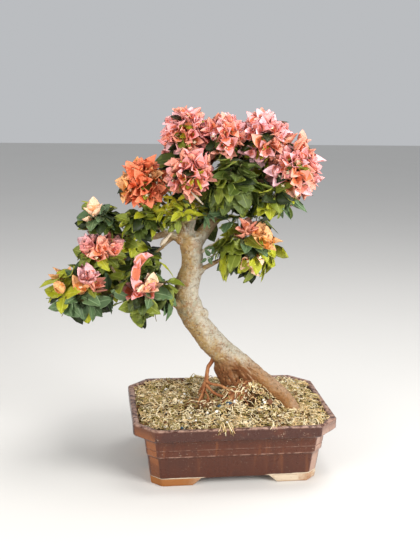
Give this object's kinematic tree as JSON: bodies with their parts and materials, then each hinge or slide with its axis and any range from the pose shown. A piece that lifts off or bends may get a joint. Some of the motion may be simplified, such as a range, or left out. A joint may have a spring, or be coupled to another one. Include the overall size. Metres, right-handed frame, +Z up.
{
  "type": "flowering bonsai tree in a pot",
  "caption": "Flowering bonsai with a leaning trunk, heads of papery bracts and pads of ovate leaves, planted in a low glazed pot with cut corners and short feet.",
  "frame": {"origin": "bottom centre of the whole object, on the plane that the pot's feet stand on", "axes": "+Z up, X along the pot's long side, -Y towards the front that the picture shows"},
  "size_m": [0.4768, 0.2526, 0.6137],
  "materials": {
    "pot_glaze": "satin",
    "bare_clay": "matte",
    "potting_soil": "matte",
    "dry_moss": "matte",
    "bark": "matte",
    "root_bark": "matte",
    "foliage": "satin",
    "blossom": "matte"
  },
  "bodies": {
    "root": {"aerial_root": "root_bark", "arm": "bark", "arm_inner": "foliage", "arm_inner_bough": "bark", "arm_tip": "foliage", "back_left": "foliage", "back_left_bough": "bark", "back_pad": "foliage", "back_pad_bough": "bark", "back_right": "foliage", "back_right_bough": "bark", "ball_orange": "blossom", "ball_orange_bough": "bark", "dome_left": "blossom", "drop_left": "foliage", "drop_left_bough": "bark", "foot_back_left": "bare_clay", "foot_back_right": "bare_clay", "foot_front_left": "bare_clay", "foot_front_right": "bare_clay", "fork_sprig": "foliage", "fork_sprig_bough": "bark", "head_front": "blossom", "head_front_bough": "bark", "head_mid": "blossom", "head_mid_bough": "bark", "head_right": "blossom", "left_limb": "bark", "low_bough": "bark", "middle_twig": "bark", "moss_dressing": "dry_moss", "pad_high_left": "blossom", "pad_high_left_bough": "bark", "pad_low_left": "foliage", "pad_low_mid": "foliage", "pad_right": "foliage", "pot": "pot_glaze", "potting_soil": "potting_soil", "right_branch": "bark", "right_limb": "bark", "shoulder_right": "blossom", "shoulder_right_bough": "bark", "trunk": "bark", "under_front": "foliage", "under_front_bough": "bark", "under_shoulder": "foliage", "under_shoulder_bough": "bark"}
  },
  "joints": []
}
